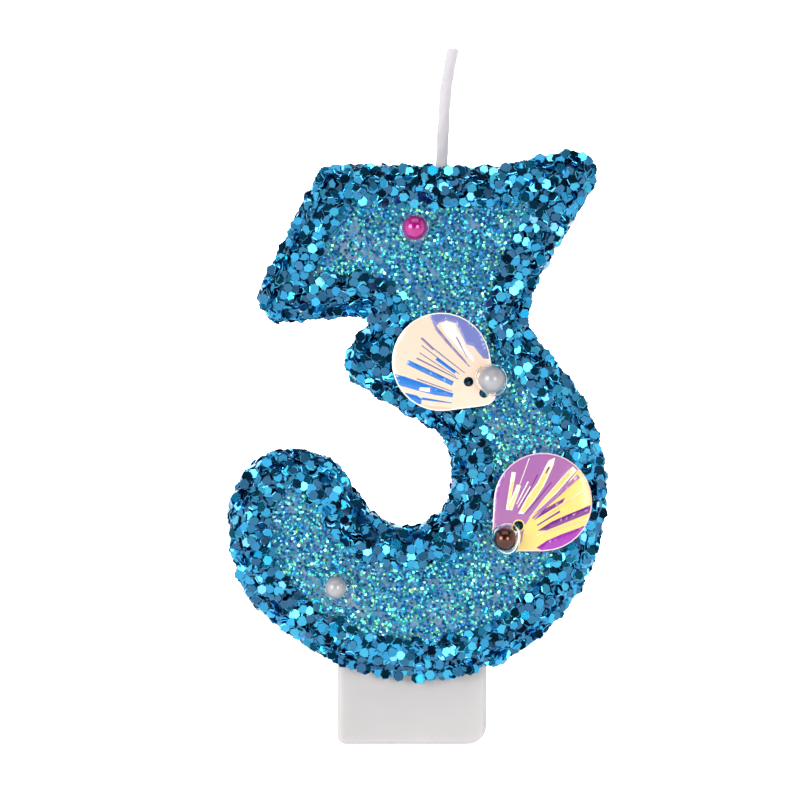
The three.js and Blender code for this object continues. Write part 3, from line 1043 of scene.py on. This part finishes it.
LOWER_SHAPES = [
    patch(
        level(3), 0.0, (-53, 6.0), (-46.3, 8.8), (-41.1, 10.1), (-36.0, 11.0), (-37.1, 9.4),
        (-41.8, 7.5), (-46.4, 5.4),
    ),
    patch(
        level(2), 0.0, (36.5, 2.7), (7.5, 3.8), (2.6, 5.0), (4.6, 7.1), (4.2, 9.4), (1.6, 11.6),
        (0.2, 13.2), (6.5, 13.0), (17.1, 12.7), (25.5, 12.0), (33.2, 11.0), (41.0, 9.9),
        (48.5, 8.4), (54.0, 6.6), (61, 4.6), (80, 3.6), (120, 2.9),
    ),
    ray(-32.2, 4.2, 0.36, -34.3, 8.7, 0.52, level(1), 0.1),
    ray(-32.0, 4.3, 0.2, -33.8, 7.6, 0.3, level(2), 0.14),
    ray(-28.9, 4.3, 0.6, -27.3, 7.4, 0.5, level(1), 0.1),
    ray(-28.6, 4.45, 0.4, -27.8, 6.6, 0.34, level(2), 0.14),
    ray(-27.2, 5.4, 0.07, -26.6, 10.8, 0.09, level(1), 0.05),
    ray(-22.4, 5.2, 0.1, -21.0, 8.2, 0.16, level(1), 0.06),
    ray(-19.0, 4.9, 0.1, -17.6, 7.8, 0.14, level(1), 0.06),
    ray(-15.6, 4.9, 0.08, -17.0, 9.4, 0.12, level(4), -0.06),
    patch(
        level(1), 0.1, (-14.2, 4.3), (-15.4, 6.6), (-14.1, 8.6), (-15.3, 11.5), (-13.2, 12.2),
        (-11.5, 11.4), (-8.4, 8.7), (-7.2, 6.7), (-7.4, 4.6),
    ),
    patch(
        level(2), 0.14, (-13.4, 4.6), (-14.2, 6.6), (-12.9, 8.6), (-13.9, 10.7), (-12.6, 11.2),
        (-11.9, 10.7), (-9.2, 8.4), (-8.3, 6.7), (-8.4, 4.9),
    ),
    ray(-12.6, 10.0, 0.1, -13.0, 10.9, 0.2, level(4), -0.06),
    ray(-5.2, 4.8, 0.08, -5.8, 9.6, 0.12, level(4), -0.06),
    patch(
        level(1), 0.1, (2.8, 4.6), (-1.5, 7.2), (-2.6, 9.9), (-2.6, 12.7), (0.4, 12.7), (2.2, 9.2),
        (2.6, 7.1),
    ),
    patch(
        level(2), 0.14, (2.4, 4.9), (-0.9, 7.2), (-1.9, 9.9), (-2.0, 12.2), (-0.4, 12.2),
        (1.4, 9.2), (1.7, 7.1),
    ),
    ray(6.2, 5.0, 0.22, 3.2, 12.4, 0.5, level(0), -0.06),
    patch(level(4), -0.1, (9.1, 4.9), (5.8, 6.8), (8.7, 9.6), (10.5, 9.0), (10.0, 6.3)),
    ray(14.0, 5.2, 0.08, 11.4, 11.8, 0.12, level(1), 0.05),
    ray(17.4, 5.0, 0.14, 15.4, 8.2, 0.22, level(4), -0.08),
    patch(
        level(4), 0.1, (24.3, 4.8), (20.3, 6.8), (20.4, 9.3), (20.8, 12.0), (24.6, 11.9),
        (25.8, 8.4), (27.4, 5.9),
    ),
    ray(29.6, 4.6, 0.08, 28.0, 11.2, 0.12, level(1), 0.06),
    patch(
        level(5), 0.12, (49.0, 4.4), (39.0, 5.7), (34.5, 7.5), (32.2, 9.7), (30.7, 11.3),
        (34.3, 10.9), (41.9, 9.8), (49.8, 7.9), (54.1, 6.1),
    ),
]
upper = shell("shell_upper", "shell_sequin_upper", UPPER_SHAPES, level(0))
piece(upper, film_look("cream_film", UPPER_FILM), "cream_film", "shell_sequin_upper")
lower = shell("shell_lower", "shell_sequin_lower", LOWER_SHAPES, level(2))
piece(lower, film_look("violet_film", LOWER_FILM), "violet_film", "shell_sequin_lower")

magenta = pearl_look("magenta_pearl", "#a8127a", "#bf2a93", 0.45)
white = pearl_look("white_pearl", "#959398", "#a6a5aa", 0.15, 0.38)
copper = pearl_look("copper_pearl", "#3c1a0e", "#5a2a14", 0.85)
for name, node, look, slot in (
    ("magenta_pearl", "pearl_magenta", magenta, "magenta_pearl"),
    ("white_pearl_upper", "pearl_white_upper", white, "white_pearl"),
    ("white_pearl_lower", "pearl_white_lower", white, "white_pearl"),
    ("copper_pearl", "pearl_copper", copper, "copper_pearl"),
):
    piece(pearl(name, node), look, slot, node)

# Each pearl's glue: its surface, radius and height, and how far right of and above the pearl it is.
for which, surface, radius, height, right, up in (
    ("magenta", ON_GEL, 1.75, 0.5, 0, 0),
    ("white_upper", ON_SEQUIN, 1.9, 0.6, 0, 0),
    ("white_lower", ON_GEL, 2.0, 0.9, 0.45, -0.3),
    ("copper", ON_SEQUIN + 0.1, 1.85, 1.0, 0.2, 0.05),
):
    lo, hi = box_mm("pearl_" + which)
    x, _, z = (lo + hi) / 2
    blob = glue_blob("glue_" + which, x + right, z + up, surface, radius, height)
    piece(blob, glue, "glue", "glue_collar_" + which)


# ---- Room, light and camera, in metres ----

HALF_ROOM = 0.7
ROOM_FRONT = -1
GLOW_FROM = -0.14  # the floor in front of this is unlit, so the flakes don't mirror it
BACK = 0.5
TOP = 0.8
SIDE_FRONT = -0.6


def plane(name, corners, look):
    obj = mesh_object(name, np.array(corners) / MM, [[0, 1, 2, 3]])
    obj.data.materials.append(look.material)


def paper(name, glow):
    look = Look(name, Roughness=0.8, Emission_Strength=glow)
    look.shader.inputs["Emission Color"].default_value = (1, 1, 1, 1)
    return look.colour(look.ramp(look.noise(3.0), [(0.4, "#f6f6f6"), (0.6, "#fafafa")]))


for name, glow, (y0, z0), (y1, z1) in (
    ("floor", 0.55, (GLOW_FROM, 0), (BACK, 0)),
    ("front_floor", 0.0, (ROOM_FRONT, 0), (GLOW_FROM, 0)),
    ("backdrop", 1.0, (BACK, 0), (BACK, TOP)),
):
    near = [(-HALF_ROOM, y0, z0), (HALF_ROOM, y0, z0)]
    far = [(HALF_ROOM, y1, z1), (-HALF_ROOM, y1, z1)]
    plane(name, near + far, paper(name + "_paper", glow))

for side in (-HALF_ROOM, HALF_ROOM):
    corners = [(side, SIDE_FRONT, 0), (side, BACK, 0), (side, BACK, TOP), (side, SIDE_FRONT, TOP)]
    plane("side_sheet", corners, paper("side_paper", 0.0))


def softbox(name, azimuth, elevation, distance, width, height, power):
    """A softbox that looks at the candle. Azimuth 0 is the camera's side, positive to its right."""
    light = bpy.data.lights.new(name, "AREA")
    light.shape = "RECTANGLE"
    light.size, light.size_y = width, height
    light.energy = power
    obj = bpy.data.objects.new(name, light)
    bpy.context.scene.collection.objects.link(obj)
    a, e = math.radians(azimuth), math.radians(elevation)
    way = Vector((math.sin(a) * math.cos(e), -math.cos(a) * math.cos(e), math.sin(e)))
    target = Vector((0, 0, 0.04))
    obj.location = target + way * distance
    obj.rotation_mode = "QUATERNION"
    obj.rotation_quaternion = way.to_track_quat("Z", "Y")


softbox("left_box", -42, 8, distance=0.6, width=0.3, height=0.32, power=2.4)
softbox("right_box", 26, 5, distance=0.7, width=0.26, height=0.3, power=1.95)
softbox("overhead", 0, 68, distance=0.7, width=0.7, height=0.5, power=1.5)

world = bpy.data.worlds.new("studio")
bpy.context.scene.world = world
world.use_nodes = True
world.node_tree.nodes["Background"].inputs["Color"].default_value = (0.06, 0.06, 0.06, 1)

FRAME_WIDTH = 0.0952  # that the picture spans at the candle
CAMERA_DISTANCE = 0.6
camera = bpy.data.cameras.new("camera")
camera.sensor_width = 36
camera.lens = camera.sensor_width * CAMERA_DISTANCE / FRAME_WIDTH
camera_object = bpy.data.objects.new("camera", camera)
bpy.context.scene.collection.objects.link(camera_object)
camera_object.location = (-0.00143, -CAMERA_DISTANCE, 0.0407)
camera_object.rotation_euler = (math.pi / 2, 0, 0)
bpy.context.scene.camera = camera_object
bpy.context.scene.view_settings.view_transform = "Standard"
